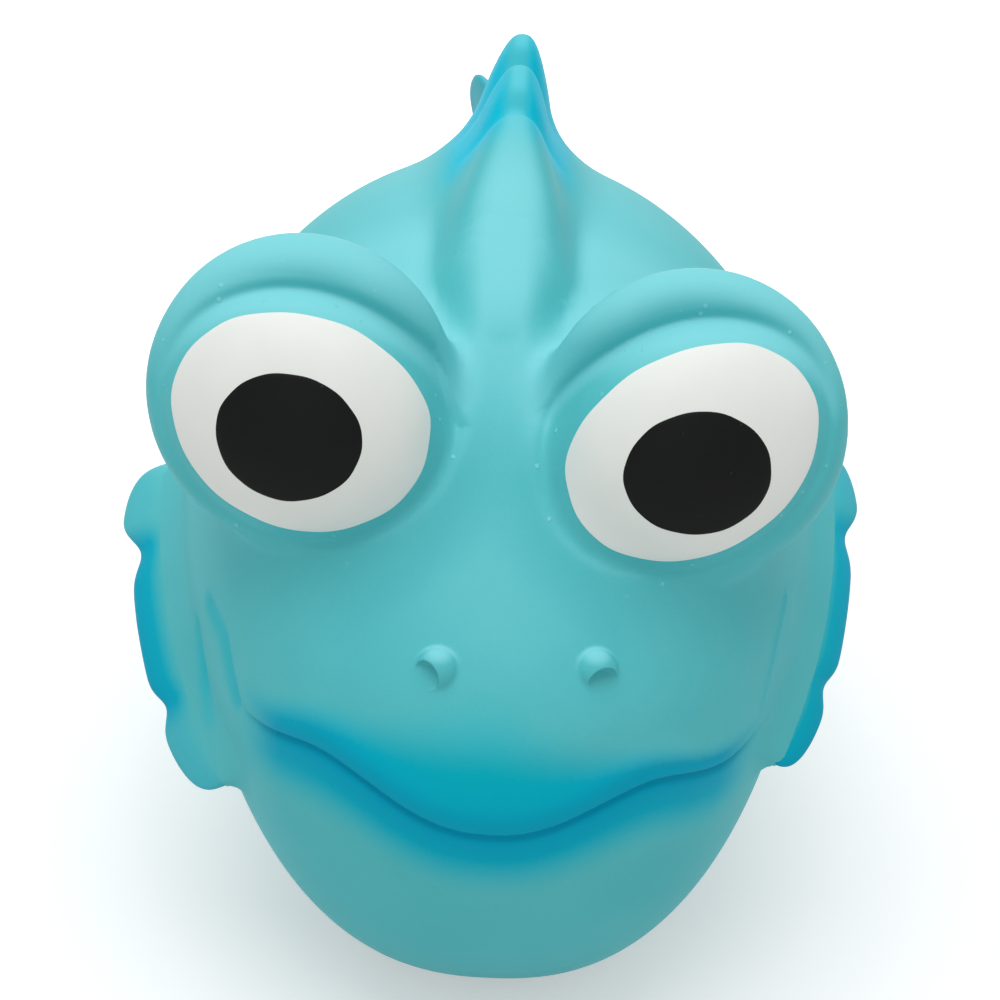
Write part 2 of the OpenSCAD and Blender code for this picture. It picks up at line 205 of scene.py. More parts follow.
# %% Crease round the painted white
# Places and half sizes in millimetres and roll in degrees, in the eye's own frame
COATS = {
    ("right", "white"): {"x": 1.59, "y": 0.87, "wide": 12.63, "high": 10.36, "roll": 8.1},
    ("right", "pupil"): {"x": 1.75, "y": -0.26, "wide": 7.09, "high": 6.24, "roll": 18.6},
    ("left", "white"): {"x": -1.50, "y": 1.27, "wide": 12.86, "high": 9.71, "roll": 4.9},
    ("left", "pupil"): {"x": -2.26, "y": -0.09, "wide": 7.10, "high": 6.09, "roll": -21.3},
}
RIM, RIM_UP, RIM_DEPTH, RIM_W = 1.5 * mm, 0.3 * mm, 0.45 * mm, 0.8 * mm
RIM_BEHIND = 2 * mm


def rim_away(p, which):
    """How far a point is from the crease round the painted white, which fades out behind the eye."""
    white = COATS[which, "white"]
    c, s = turn(white["roll"])
    q = (p - eye_centre[SIDES[which]]) @ eye_frame(SIDES[which]).T
    x, y = q[..., 0] - white["x"] * mm, q[..., 1] - white["y"] * mm - RIM_UP
    wide, high = white["wide"] * mm + RIM, white["high"] * mm + RIM
    away = (np.hypot((c * x + s * y) / wide, (c * y - s * x) / high) - 1) * high
    return np.abs(away) + np.maximum(RIM_BEHIND - q[..., 2], 0)


def rim_crease(p):
    return RIM_DEPTH * sum(bump(rim_away(p, which), RIM_W) for which in SIDES)


def rim_nearest(p):
    return np.min([rim_away(p, which) for which in SIDES], axis=0)


print("painted whites, half width in mm:", {which: COATS[which, "white"]["wide"] for which in SIDES})

# %% Brow ridges
BROW_OUT = 1.5
BROW_OUTER, BROW_R, BROW_THIN = 15.8 * mm, {1: 3.1 * mm, -1: 3.9 * mm}, 0.25
BROW_RISE, BROW_FORWARD, BROW_SINK, BROW_SINK_OVER = 1.6 * mm, 3.5 * mm, 4 * mm, 0.4
BROW_START, BROW_END = math.radians(-25), {1: math.radians(180), -1: math.radians(197)}


def brow_size(side, t):
    return BROW_R[side] * mix(BROW_THIN, 1, np.sqrt(np.sin(np.pi * np.clip(t, 0.01, 0.99))))


def brow_path(side, t):
    """A point on the brow's centre line, for t from 0 at the nose to 1 at the cheek."""
    a = mix(BROW_START, BROW_END[side], t)
    ring = BROW_OUTER - BROW_R[side]
    forward = BROW_FORWARD - BROW_SINK * (1 - smooth(t / BROW_SINK_OVER))
    local = np.stack([-side * np.cos(a) * ring, BROW_RISE + np.sin(a) * ring, forward], -1)
    return eye_centre[side] + local @ eye_frame(side, BROW_OUT, 0)


def brow_distance(p, side):
    q = (p - eye_centre[side]) @ eye_frame(side, BROW_OUT, 0).T
    a = np.arctan2(q[..., 1] - BROW_RISE, -side * q[..., 0])
    a = np.where(a < -np.pi / 2, a + 2 * np.pi, a)
    t = np.clip((a - BROW_START) / (BROW_END[side] - BROW_START), 0, 1)
    return np.linalg.norm(p - brow_path(side, t), axis=-1) - brow_size(side, t)


print("brows: halfway at", [np.round(brow_path(s, 0.5), 4).tolist() for s in SIDES.values()])

# %% [markdown]
# ## Mouth, nostrils and gills
# The mouth is one long wavy crease with a sharp upper edge, because the upper lip hangs over it. The nostrils
# are small raised hoods, hollow on their lower side. The gills are pressed slits on one flank and fine raised
# lines on the other, and the dorsal fin runs out in a low ridge on the forehead. The hoods are balls joined
# to the skin and the rest are heights added to its formula, so all of it is real shape and no painted line.

# %% Lips
MOUTH_HALF, MOUTH_SHIFT, MOUTH_Z, MOUTH_FADE = 25 * mm, 1.4 * mm, -0.4 * mm, 5 * mm
CHEEK_X, MOUTH_RISE, CHEEK_POWER = 0.64 * MOUTH_HALF, 4.1 * mm, 1.3
CORNER_DROP, MOUTH_SLANT = 2.6 * mm, 0.045
MOUTH_DEPTH, CREASE_TOP, CREASE_LOW = 0.7 * mm, 0.28 * mm, 0.6 * mm
LIP_PROUD, LIP_ABOVE, LIP_W = 0.55 * mm, 2 * mm, 2.2 * mm
FOLD_DEPTH, FOLD_ABOVE, FOLD_W = 0.16 * mm, 1.5 * mm, 0.35 * mm
FOLD_X, FOLD_FADE = 11 * mm, 4 * mm


def mouth_line(x):
    rise = MOUTH_RISE * smooth(np.abs(x) / CHEEK_X) ** CHEEK_POWER
    drop = CORNER_DROP * smooth((np.abs(x) - CHEEK_X) / (MOUTH_HALF - CHEEK_X))
    return MOUTH_Z - MOUTH_SLANT * x + rise - drop


def mouth_above(p):
    return p[..., 2] - MID_Z - mouth_line(p[..., 0])


def mouth_fade(p):
    return smooth((MOUTH_HALF - np.abs(p[..., 0] - MOUTH_SHIFT)) / MOUTH_FADE + 0.5) * (p[..., 1] < 0)


def lips(p):
    above = mouth_above(p)
    crease = MOUTH_DEPTH * bump(above, np.where(above > 0, CREASE_TOP, CREASE_LOW))
    fold = FOLD_DEPTH * bump(above - FOLD_ABOVE, FOLD_W) * smooth((p[..., 0] - FOLD_X) / FOLD_FADE)
    return mouth_fade(p) * (LIP_PROUD * bump(above - LIP_ABOVE, LIP_W) - crease - fold)


print("mouth: middle and cheek at height", np.round(mouth_line(np.array([0, CHEEK_X])), 4))

# %% Nostrils
NOSTRILS = [{"x": -5.6 * mm, "z": 14.4 * mm, "open": -128}, {"x": 10.5 * mm, "z": 14.0 * mm, "open": -88}]
HOOD_R, HOOD_BACK, HOOD_SINK = 2.2 * mm, 0.4 * mm, 0.8 * mm
PIT_R, PIT_AHEAD, PIT_OUT, PIT_EDGE = 1.6 * mm, 1.1 * mm, 0.5 * mm, 0.2 * mm
FILLET_NOSTRIL = 0.4 * mm


def nostril_place(n):
    at = on_skin((n["x"], 0, MID_Z + n["z"]), (0, -1, 0))
    out = unit(gradient(body_level, at))
    right = unit(np.cross((0, 0, 1), out))
    return at, np.stack([right, np.cross(out, right), out])


for n in NOSTRILS:
    n["at"], n["axes"] = nostril_place(n)


def with_nostril(d, p, n):
    """Adds a small round hood to the skin, hollowed out on its open side."""
    q = (p - n["at"]) @ n["axes"].T
    c, s = turn(n["open"])
    hood = np.linalg.norm(q - [-HOOD_BACK * c, -HOOD_BACK * s, -HOOD_SINK], axis=-1) - HOOD_R
    pit = np.linalg.norm(q - [PIT_AHEAD * c, PIT_AHEAD * s, PIT_OUT], axis=-1) - PIT_R
    return join(d, cut(hood, -pit, PIT_EDGE), FILLET_NOSTRIL)


print("nostrils:", [np.round(n["at"], 4).tolist() for n in NOSTRILS])

# %% Gills and forehead ridge
# A gill's path is a few (y, z) points in millimetres from the body's middle
GILLS = [
    {"side": -1, "high": -0.45 * mm, "wide": 0.8 * mm, "path": ((-20.5, 2.7), (-25.6, -4.3))},
    {"side": -1, "high": -0.55 * mm, "wide": 1.0 * mm, "path": ((-23.6, 7.9), (-27.8, 7.2), (-31.8, 2.4))},
    {"side": 1, "high": 0.25 * mm, "wide": 0.5 * mm, "path": ((-9.2, 1.4), (-15.4, -4.3), (-24.1, -5.5))},
    {"side": 1, "high": 0.25 * mm, "wide": 0.5 * mm, "path": ((-20.1, 9.6), (-24.7, 6.7), (-28.8, 2.3))},
]
RIDGE_X, RIDGE_H, RIDGE_HALF_W, RIDGE_STEEP = -0.4 * mm, 2.2 * mm, (3.5 * mm, 6.8 * mm), 1.4
RIDGE_TIP, RIDGE_FULL, RIDGE_GONE = -27 * mm, -11 * mm, 15 * mm

for gill in GILLS:
    gill["points"] = [on_skin((0, y * mm, MID_Z + z * mm), (gill["side"], 0, 0)) for y, z in gill["path"]]


def gill_distance(p, gill):
    def to_line(start, end):
        along = end - start
        t = np.clip((p - start) @ along / (along @ along), 0, 1)
        return np.linalg.norm(p - start - t[..., None] * along, axis=-1)

    return np.min([to_line(*ends) for ends in zip(gill["points"], gill["points"][1:])], axis=0)


def gills(p):
    return sum(gill["high"] * bump(gill_distance(p, gill), gill["wide"]) for gill in GILLS)


def ridge(p):
    """The rounded front end of the dorsal fin, which runs out between the brows."""
    x, y = p[..., 0] - RIDGE_X, p[..., 1]
    along = smooth((y - RIDGE_TIP) / (RIDGE_FULL - RIDGE_TIP))
    height = RIDGE_H * along * smooth(1 - y / RIDGE_GONE) * (p[..., 2] > MID_Z)
    return height * smooth(RIDGE_STEEP * (1 - np.abs(x) / mix(*RIDGE_HALF_W, along)))


print("gills: first points at", [np.round(gill["points"][0], 4).tolist() for gill in GILLS])

# %% [markdown]
# ## Fins
# A fin is a flat pad of latex with rounded lobes, thick at its root. A ball has just the right mesh for it:
# its circles of latitude become the fin's cross-sections from one end of the root to the other. So each fin
# starts as a ball, and every vertex is carried to its place on the fin, with the root sunk in the body.

# %% Meshes, their points and their values


def new_piece(name, bm):
    """Turns a bmesh into a smooth-shaded object with its place in its mesh."""
    mesh = bpy.data.meshes.new(name)
    bm.to_mesh(mesh)
    bm.free()
    mesh.polygons.foreach_set("use_smooth", np.ones(len(mesh.polygons), bool))
    piece = bpy.data.objects.new(name, mesh)
    bpy.context.scene.collection.objects.link(piece)
    return piece


@contextmanager
def editing(mesh):
    """Opens a mesh as a bmesh and writes it back afterwards."""
    bm = bmesh.new()
    bm.from_mesh(mesh)
    yield bm
    bm.to_mesh(mesh)
    bm.free()


def weld(mesh, within):
    """Closes the poles of a ball that was carried to another shape, and turns its faces outwards."""
    with editing(mesh) as bm:
        bmesh.ops.remove_doubles(bm, verts=bm.verts, dist=within)
        bmesh.ops.recalc_face_normals(bm, faces=bm.faces)


def points_of(mesh):
    co = np.empty(len(mesh.vertices) * 3)
    mesh.vertices.foreach_get("co", co)
    return co.reshape(-1, 3)


def set_points(mesh, p):
    mesh.vertices.foreach_set("co", np.ascontiguousarray(p, np.float32).ravel())
    mesh.update()


def set_attribute(mesh, name, values):
    attribute = mesh.attributes.get(name) or mesh.attributes.new(name, "FLOAT", "POINT")
    attribute.data.foreach_set("value", np.asarray(values, np.float32))


# %% Cross-sections of a fin
SINK = 2.2 * mm
FIN_AROUND, FIN_WELD = 64, 0.005 * mm
FIN_THIN = 0.45
EDGE_ROUND, FACE_ROUND = 0.85, 0.75


def fin_piece(name, place, along=160):
    """A ball whose vertices go to place(s, rise, side): s along the root, rise to the edge, side across."""
    bm = bmesh.new()
    bmesh.ops.create_uvsphere(bm, u_segments=FIN_AROUND, v_segments=along, radius=1)
    piece = new_piece(name, bm)
    ball = points_of(piece.data)
    s = (1 - ball[:, 2]) / 2
    ring = np.maximum(np.hypot(ball[:, 0], ball[:, 1]), 1e-9)
    rise, side = ball[:, 1] / ring, ball[:, 0] / ring
    set_points(piece.data, place(s, rise, side))
    set_attribute(piece.data, "edge", np.maximum(rise, 0))
    set_attribute(piece.data, "along_root", s)
    weld(piece.data, FIN_WELD)
    return piece


def blunt(s, power):
    """1 along the middle and a round fall to 0 at both ends."""
    return (1 - np.abs(2 * s - 1) ** power) ** (1 / power)


def fin_section(rise, side, thin):
    """Height from -1 in the body to 1 at the edge, and thickness from -1 to 1."""
    height = np.sign(rise) * np.abs(rise) ** EDGE_ROUND
    thick = np.sign(side) * np.abs(side) ** FACE_ROUND * (1 - thin * np.maximum(height, 0))
    return height, thick


# %% Dorsal fin
DORSAL_START, DORSAL_END = -14 * mm, BODY_BACK - 9 * mm
DORSAL_H, DORSAL_LOW, DORSAL_PITCH = 14.5 * mm, 0.8 * mm, 9.5 * mm
DORSAL_HALF_T, RIDGE_HALF_T = 4.9 * mm, 6 * mm
DORSAL_PEAK = DORSAL_END - 1.5 * DORSAL_PITCH
RIDGE_END, RIDGE_THIN = 0.6 * DORSAL_PEAK, 0.15
NOTCH_W, NOTCH_DEEP = 0.18 * DORSAL_PITCH, 0.2
DORSAL_X, DORSAL_LEAN, DORSAL_BLUNT = -0.4 * mm, 0.06, 8
root_y = np.linspace(DORSAL_START, DORSAL_END, 60)
root_z = np.array([on_skin((0, y, MID_Z), (0, 0, 1))[2] for y in root_y])


def dorsal_height(y):
    climb = (y - DORSAL_START) / (DORSAL_PEAK - DORSAL_START)
    fall = np.sqrt(np.clip(1 - ((y - DORSAL_PEAK) / (DORSAL_END - DORSAL_PEAK)) ** 2, 0, 1))
    notch = sum(bump(y - DORSAL_PEAK + k * DORSAL_PITCH, NOTCH_W) for k in (0.5, 1.5))
    crest = (DORSAL_H - DORSAL_LOW) * np.where(y < DORSAL_PEAK, climb, fall)
    return DORSAL_LOW + crest * (1 - NOTCH_DEEP * notch)


def dorsal_place(s, rise, side):
    y = mix(DORSAL_START, DORSAL_END, s)
    height, thick = fin_section(rise, side, mix(RIDGE_THIN, FIN_THIN, smooth(y / RIDGE_END)))
    h = dorsal_height(y)
    up = np.where(height > 0, h, SINK) * height * blunt(s, DORSAL_BLUNT)
    half_t = mix(RIDGE_HALF_T, DORSAL_HALF_T, smooth(y / RIDGE_END))
    half_t = half_t * np.sqrt(smooth((y - DORSAL_START + DORSAL_LOW) / DORSAL_PITCH))
    x = DORSAL_X + DORSAL_LEAN * up + half_t * thick * blunt(s, DORSAL_BLUNT)
    return np.stack([x, y, np.interp(y, root_y, root_z) + up], -1)


dorsal = fin_piece("dorsal_fin_latex", dorsal_place, along=240)
print("dorsal fin:", len(dorsal.data.vertices), "vertices")

# %% Side fins
FIN_SPAN = {1: 5.1 * mm, -1: 6.3 * mm}
FIN_CROWN, CROWN_FROM, CROWN_OVER = 0.22, 0.7, 0.15
FIN_HALF_T, FIN_DROOP, FIN_FAN, FIN_STAGGER, FIN_SHIFT = 2 * mm, 37, (-4, 12), 3 * mm, 3.5 * mm
FIN_LOW, FIN_HIGH = np.array([0, -28.5, -7]) * mm, np.array([0, 4, 9.5]) * mm
# A notch is its place along the edge, its width and its depth, all as shares
FIN_NOTCHES = ((0.26, 0.05, 0.2), (0.73, 0.06, 0.2))
FAN_BLUNT, PAD_BLUNT = 5, 3
ROOT_STEPS = np.linspace(0, 1, 40)


def fan_edge(s, notches):
    return blunt(s, FAN_BLUNT) * (1 - sum(deep * bump(s - at, width) for at, width, deep in notches))


def along_root(s, points):
    return np.stack([np.interp(s, ROOT_STEPS, points[:, i]) for i in range(3)], -1)


def side_root(side):
    lift = np.array([0, side * FIN_SHIFT / 2, MID_Z + side * FIN_STAGGER / 2])
    return np.array([on_skin(mix(FIN_LOW, FIN_HIGH, s) + lift, (side, 0, 0)) for s in ROOT_STEPS])


def side_axes(side, roots):
    """Along the root, out along the blade and across it."""
    hinge = unit(roots[-1] - roots[0])
    c, s = turn(FIN_DROOP)
    droop = np.array([side * c, 0, -s])
    out = unit(droop - (droop @ hinge) * hinge)
    return hinge, out, np.cross(hinge, out)


def side_fin(name, side):
    roots = side_root(side)
    hinge, out, face = side_axes(side, roots)

    def place(s, rise, across):
        height, thick = fin_section(rise, across, FIN_THIN)
        lift = np.radians(mix(*FIN_FAN, s))[:, None]
        crown = 1 + FIN_CROWN * smooth((s - CROWN_FROM) / CROWN_OVER)
        span = np.where(height > 0, FIN_SPAN[side] * crown * fan_edge(s, FIN_NOTCHES), SINK)
        return (
            along_root(s, roots)
            + (out * np.cos(lift) + hinge * np.sin(lift)) * (span * height)[:, None]
            + face * (FIN_HALF_T * thick * blunt(s, PAD_BLUNT))[:, None]
        )

    return fin_piece(name, place)


side_fins = {name: side_fin(name + "_side_fin_latex", side) for name, side in SIDES.items()}
print("side fins:", {o.name: len(o.data.vertices) for o in side_fins.values()})

# %% Tail fin
TAIL_SPAN, TAIL_ROOT, TAIL_RISE, TAIL_HALF_T, TAIL_CURL = 17 * mm, 9 * mm, 5 * mm, 3 * mm, 4.7 * mm
TAIL_FAN, TAIL_THIN = (-26, 50), 0.4
TAIL_NOTCHES = ((0.36, 0.06, 0.18), (0.66, 0.06, 0.18))
tail_roots = np.array(
    [on_skin((0, 0, MID_Z + TAIL_RISE + mix(-TAIL_ROOT, TAIL_ROOT, s)), (0, 1, 0)) for s in ROOT_STEPS]
)


def tail_place(s, rise, across):
    height, thick = fin_section(rise, across, TAIL_THIN)
    lift = np.radians(mix(*TAIL_FAN, s))
    way = np.stack([0 * s, np.cos(lift), np.sin(lift)], -1)
    out = np.where(height > 0, TAIL_SPAN * fan_edge(s, TAIL_NOTCHES), SINK) * height
    p = along_root(s, tail_roots) + way * out[:, None]
    p[:, 0] += TAIL_HALF_T * thick * blunt(s, PAD_BLUNT) - TAIL_CURL * (out / TAIL_SPAN) ** 2
    return p


tail = fin_piece("tail_fin_latex", tail_place)
print("tail fin:", len(tail.data.vertices), "vertices")

# %% [markdown]
# ## The whole casting
# The fins grow out of the body with a soft fillet and no seam. The body's formula takes in the lowest few
# millimetres of each fin, a hair inside the fin's own surface, so the fillet runs up and meets the fin where
# both point the same way. The floor is the same kind of rounded cut.

# %% One formula for the casting
FAR = 50 * mm
FILLET_BROW, FILLET_EYE, FILLET_FLOOR = 3 * mm, 1.4 * mm, 3.5 * mm
FILLET_MOUND, MOUND_INSET = 12 * mm, 3.3 * mm
FILLET_FIN = {dorsal.name: 6.5 * mm, tail.name: 3 * mm} | {o.name: 3 * mm for o in side_fins.values()}
FILLET_RIDGE = 3 * mm
STUB_ABOVE, STUB_INSET = 0.8 * mm, 0.04 * mm


def tree_of(piece):
    bm = bmesh.new()
    bm.from_mesh(piece.data)
    tree = BVHTree.FromBMesh(bm)
    bm.free()
    return tree


fins = [dorsal, *side_fins.values(), tail]
fin_trees = {o.name: (tree_of(o), points_of(o.data).min(0), points_of(o.data).max(0)) for o in fins}


def fin_distance(p, name):
    tree, low, high = fin_trees[name]
    margin = FILLET_FIN[name] + 2 * STUB_ABOVE
    d = np.full(len(p), FAR)
    for i in np.flatnonzero(np.all((p > low - margin) & (p < high + margin), axis=1)):
        at, normal, _, away = tree.find_nearest(p[i], margin)
        if at is not None:
            d[i] = -away if (Vector(p[i]) - at).dot(normal) < 0 else away
    return d


def face_distance(p):
    """The body with its face, before the fins and the floor."""
    d = body_distance(p) - lips(p) - gills(p) - ridge(p)
    for n in NOSTRILS:
        d = with_nostril(d, p, n)
    domes = [dome_distance(p, side) for side in SIDES.values()]
    for dome in domes:
        d = join(d, dome + MOUND_INSET, FILLET_MOUND)
    for side in SIDES.values():
        d = join(d, brow_distance(p, side), FILLET_BROW)
    for dome in domes:
        d = join(d, dome, FILLET_EYE)
    return d + rim_crease(p)


def fish_distance(p):
    body = face_distance(p)
    d = body
    for name, fillet in FILLET_FIN.items():
        if name == dorsal.name:
            fillet = mix(FILLET_RIDGE, fillet, smooth(p[:, 1] / RIDGE_END))
        stub = np.maximum(fin_distance(p, name) + STUB_INSET, body - fillet - STUB_ABOVE)
        d = join(d, stub, fillet)
    return cut(d, -p[..., 2], FILLET_FLOOR)


print("formula at the body's middle:", round(float(fish_distance(MIDDLE[None])[0]), 4))

# %% [markdown]
# ## From formula to mesh
# A voxel remesh of some overlapping balls gives an even mesh of about the right shape. Every vertex then
# walks along the formula's slope until it lies on the surface, with a little smoothing between steps. Where
# the shape is fine, as at the mouth and the nostrils, the edges are split so that there are vertices to show
# it, and the vertices walk again.

# %% Tools for a mesh that follows a formula


def add_ball(bm, centre, radius, subdivisions=2):
    made = bmesh.ops.create_icosphere(bm, subdivisions=subdivisions, radius=1)["verts"]
    bmesh.ops.scale(bm, vec=Vector(np.broadcast_to(radius, 3)), verts=made)
    bmesh.ops.translate(bm, vec=Vector(centre), verts=made)


def apply_modifiers(piece):
    mesh = bpy.data.meshes.new_from_object(piece.evaluated_get(bpy.context.evaluated_depsgraph_get()))
    piece.modifiers.clear()
    piece.data = mesh


def remeshed(name, bm, voxel):
    piece = new_piece(name, bm)
    piece.modifiers.new("Remesh", "REMESH").voxel_size = voxel
    apply_modifiers(piece)
    return piece


def relax_once(mesh):
    with editing(mesh) as bm:
        bmesh.ops.smooth_vert(
            bm, verts=bm.verts, factor=0.5, use_axis_x=True, use_axis_y=True, use_axis_z=True
        )


def pull(mesh, field, turns, relax, longest=1 * mm):
    """Walks the vertices onto the field's surface, smoothing after each of the first few turns."""
    for i in range(turns):
        p = points_of(mesh)
        g = gradient(field, p)
        step = field(p)[:, None] * g / (np.sum(g * g, -1, keepdims=True) + 1e-3)
        set_points(mesh, p - np.clip(step, -longest, longest))
        if i < relax:
            relax_once(mesh)


def refine(mesh, wanted):
    """Splits the edges whose two ends are both wanted."""
    with editing(mesh) as bm:
        edges = [e for e in bm.edges if wanted[e.verts[0].index] and wanted[e.verts[1].index]]
        bmesh.ops.subdivide_edges(bm, edges=edges, cuts=1, use_grid_fill=True)


def triangles(mesh):
    return sum(len(f.vertices) - 2 for f in mesh.polygons)


# %% Rough mesh, then pulled onto the formula
VOXEL = 1.1 * mm
BROW_BALLS, ROOT_EVERY = 14, 3
dorsal_roots = np.stack([0 * root_y, root_y, root_z], -1)

rough = bmesh.new()
for side in SIDES.values():
    for t in np.linspace(0, 1, BROW_BALLS):
        add_ball(rough, brow_path(side, t), float(brow_size(side, t)))
    for at in side_root(side)[::ROOT_EVERY]:
        add_ball(rough, at, FIN_HALF_T)
for roots, half_t in ((dorsal_roots, DORSAL_HALF_T), (tail_roots, TAIL_HALF_T)):
    for at in roots[::ROOT_EVERY]:
        add_ball(rough, at, half_t)
for side in SIDES.values():
    add_ball(rough, eye_centre[side], DOME.mean(), 4)
add_ball(rough, MIDDLE, (BODY_HALF_W, (BODY_FRONT + BODY_BACK) / 2, BODY_HALF_H), 5)
skin = remeshed("latex_skin", rough, VOXEL)
pull(skin.data, fish_distance, turns=8, relax=5)
print("even skin:", len(skin.data.vertices), "vertices")

# %% Finer mesh where the relief is fine
FINE_GROOVE, FINE_EYE, FINE_FOOT = 2.6 * mm, 3 * mm, 1.2 * mm
REACHES = (
    {"mouth": 6 * mm, "nostril": 2 * FINE_GROOVE, "rim": 4 * mm},
    {"mouth": 2 * mm, "nostril": 1.5 * FINE_GROOVE, "rim": 2.2 * mm},
    {"mouth": 1.2 * mm, "nostril": 1.2 * FINE_GROOVE, "rim": 0},
)


def near_lines(p, mouth, nostril, rim):
    """Within these distances of the mouth, a nostril or the crease round an eye."""
    at_mouth = (np.abs(mouth_above(p)) < mouth) & (mouth_fade(p) > 0)
    at_nostril = np.min([np.linalg.norm(p - n["at"], axis=-1) for n in NOSTRILS], axis=0) < nostril
    return at_mouth | at_nostril | (rim_nearest(p) < rim)


def near_forms(p):
    """At the gills, the fronts of the eyes and the feet of the fins."""
    slits = np.min([gill_distance(p, gill) for gill in GILLS], axis=0) < FINE_GROOVE
    eyes = np.min([np.abs(dome_distance(p, s)) for s in SIDES.values()], axis=0) < FINE_EYE
    feet = np.min([np.abs(fin_distance(p, name)) for name in FILLET_FIN], axis=0) < FINE_FOOT
    return slits | eyes & (p[..., 1] < 0) | feet


for reach in REACHES:
    p = points_of(skin.data)
    wanted = near_lines(p, **reach)
    if reach is REACHES[0]:
        wanted |= near_forms(p)
    refine(skin.data, wanted)
    pull(skin.data, fish_distance, turns=3, relax=1, longest=0.5 * mm)
print("fine skin:", len(skin.data.vertices), "vertices,", triangles(skin.data), "triangles")

# %% [markdown]
# ## Hollow inside
# The wall of such a casting is about 3 mm. A smaller copy of the body and the eyes is taken away from the
# inside, and a stepped hole in the floor takes the squeaker, as on toys of this kind.

# %% Cavity and squeaker hole
WALL, FLOOR_T, CAVITY_VOXEL = 3 * mm, 3 * mm, 2.2 * mm
SQUEAKER_Y, CUP_R, FLANGE_R, FLANGE_UP = 11 * mm, 7.2 * mm, 9.6 * mm, 1.6 * mm


def cavity_distance(p):
    d = body_distance(p, WALL)
    for side in SIDES.values():
        d = join(d, dome_distance(p, side) + WALL, WALL)
    return cut(d, FLOOR_T - p[..., 2], FILLET_FLOOR)


def carve(piece, tool):
    modifier = piece.modifiers.new("Carve", "BOOLEAN")
    modifier.operation = "DIFFERENCE"
    modifier.solver = "MANIFOLD"
    modifier.object = tool
    apply_modifiers(piece)
    bpy.data.objects.remove(tool)


inside = bmesh.new()
add_ball(inside, MIDDLE, (BODY_HALF_W - WALL, BODY_FRONT - WALL, BODY_HALF_H - WALL), 5)
for side in SIDES.values():
    add_ball(inside, eye_centre[side], DOME.min() - WALL, 4)
cavity = remeshed("cavity", inside, CAVITY_VOXEL)
pull(cavity.data, cavity_distance, turns=6, relax=3)
carve(skin, cavity)

for radius, top in ((CUP_R, 3 * FLOOR_T), (FLANGE_R, FLANGE_UP)):
    bm = bmesh.new()
    bmesh.ops.create_cone(bm, cap_ends=True, segments=96, radius1=radius, radius2=radius, depth=2 * top)
    bmesh.ops.translate(bm, vec=(0, SQUEAKER_Y, 0), verts=bm.verts)
    carve(skin, new_piece("hole", bm))
print("hollow skin:", len(skin.data.vertices), "vertices,", triangles(skin.data), "triangles")

# %% [markdown]
# ## Smooth shading
# Latex shows soft light very evenly, and triangles of mixed sizes would show in it as a faint quilt. More
# triangles would cost much and only shrink the quilt. The formula knows the true slope at every point, so
# the outside takes its normals from there. The inside and the rim of the floor keep the mesh's own.

# %% Normals from the formula
ON_SKIN, SKIN_SHARP = 0.03 * mm, math.radians(50)


def formula_normals(mesh, field):
    mesh.polygons.foreach_set("use_smooth", np.ones(len(mesh.polygons), bool))
    mesh.set_sharp_from_angle(angle=SKIN_SHARP)
    p = points_of(mesh)
    normals = unit(gradient(field, p))
    off_skin = (np.abs(field(p)) > ON_SKIN) | (p[:, 2] < ON_SKIN)
    normals[off_skin] = 0
    mesh.normals_split_custom_set_from_vertices(normals.tolist())
    return int((~off_skin).sum())


print("normals from the formula:", formula_normals(skin.data, fish_distance), "vertices")

# %% [markdown]
# ## Painted eyes
# The white and the black are brushed on, so their edges waver a little and stand up by a fraction of a
# millimetre. A ball is pressed flat into a lens for each: its upper half becomes the coat's face, and its
# lower half the underside, which lies just inside the dome so that no light shows beneath.

# %% Coats of paint
COAT_T, COAT_SINK = {"white": 0.08 * mm, "pupil": 0.16 * mm}, 0.1 * mm
COAT_AROUND, COAT_RINGS, COAT_WELD = 144, 48, 0.002 * mm
COAT_SHARP, TRACE_STEPS = math.radians(40), 16
WAVER, EDGE_THIN, EDGE_POWER = 0.006, 0.5, 40


def coat(which, kind, spec):
    side = SIDES[which]
    bm = bmesh.new()
    bmesh.ops.create_uvsphere(bm, u_segments=COAT_AROUND, v_segments=COAT_RINGS, radius=1)
    piece = new_piece(f"{which}_{kind}_paint", bm)
    ball = points_of(piece.data)
    out = 1 - (1 - np.arccos(np.clip(np.abs(ball[:, 2]), 0, 1)) / (np.pi / 2)) ** 2
    a = np.arctan2(ball[:, 1], ball[:, 0])
    phase = 1.7 * side + 2.1 * (kind == "pupil")
    waves = np.sin(3 * a + phase) + 0.6 * np.sin(7 * a - 2 * phase) + 0.4 * np.sin(13 * a + 3 * phase)
    edge = 1 + WAVER * waves
    (cr, sr), wide, high = turn(spec["roll"]), spec["wide"] * np.cos(a), spec["high"] * np.sin(a)
    x = spec["x"] + out * edge * (wide * cr - high * sr)
    y = spec["y"] + out * edge * (wide * sr + high * cr)
    axes = eye_frame(side)
    p = eye_centre[side] + np.stack([x * mm, y * mm, 0 * x + DOME[2] + DOME_AHEAD], -1) @ axes
    for _ in range(TRACE_STEPS):
        p -= face_distance(p)[:, None] * axes[2]
    lift = np.where(ball[:, 2] > 1e-4, COAT_T[kind] * (1 - EDGE_THIN * out**EDGE_POWER), -COAT_SINK)
    set_points(piece.data, p + unit(gradient(face_distance, p)) * lift[:, None])
    weld(piece.data, COAT_WELD)
    piece.data.set_sharp_from_angle(angle=COAT_SHARP)
    return piece


coats = {key: coat(*key, spec) for key, spec in COATS.items()}
print("paint:", [o.name for o in coats.values()])

# %% [markdown]
# ## Shader sums as plain Python
# A finish is a formula too. Wrapping a node's socket in a small class lets a mask be written as a sum, such
# as 1 - mask * 0.5, and each operation adds its Math node. One method adds any other node.

# %% Sockets


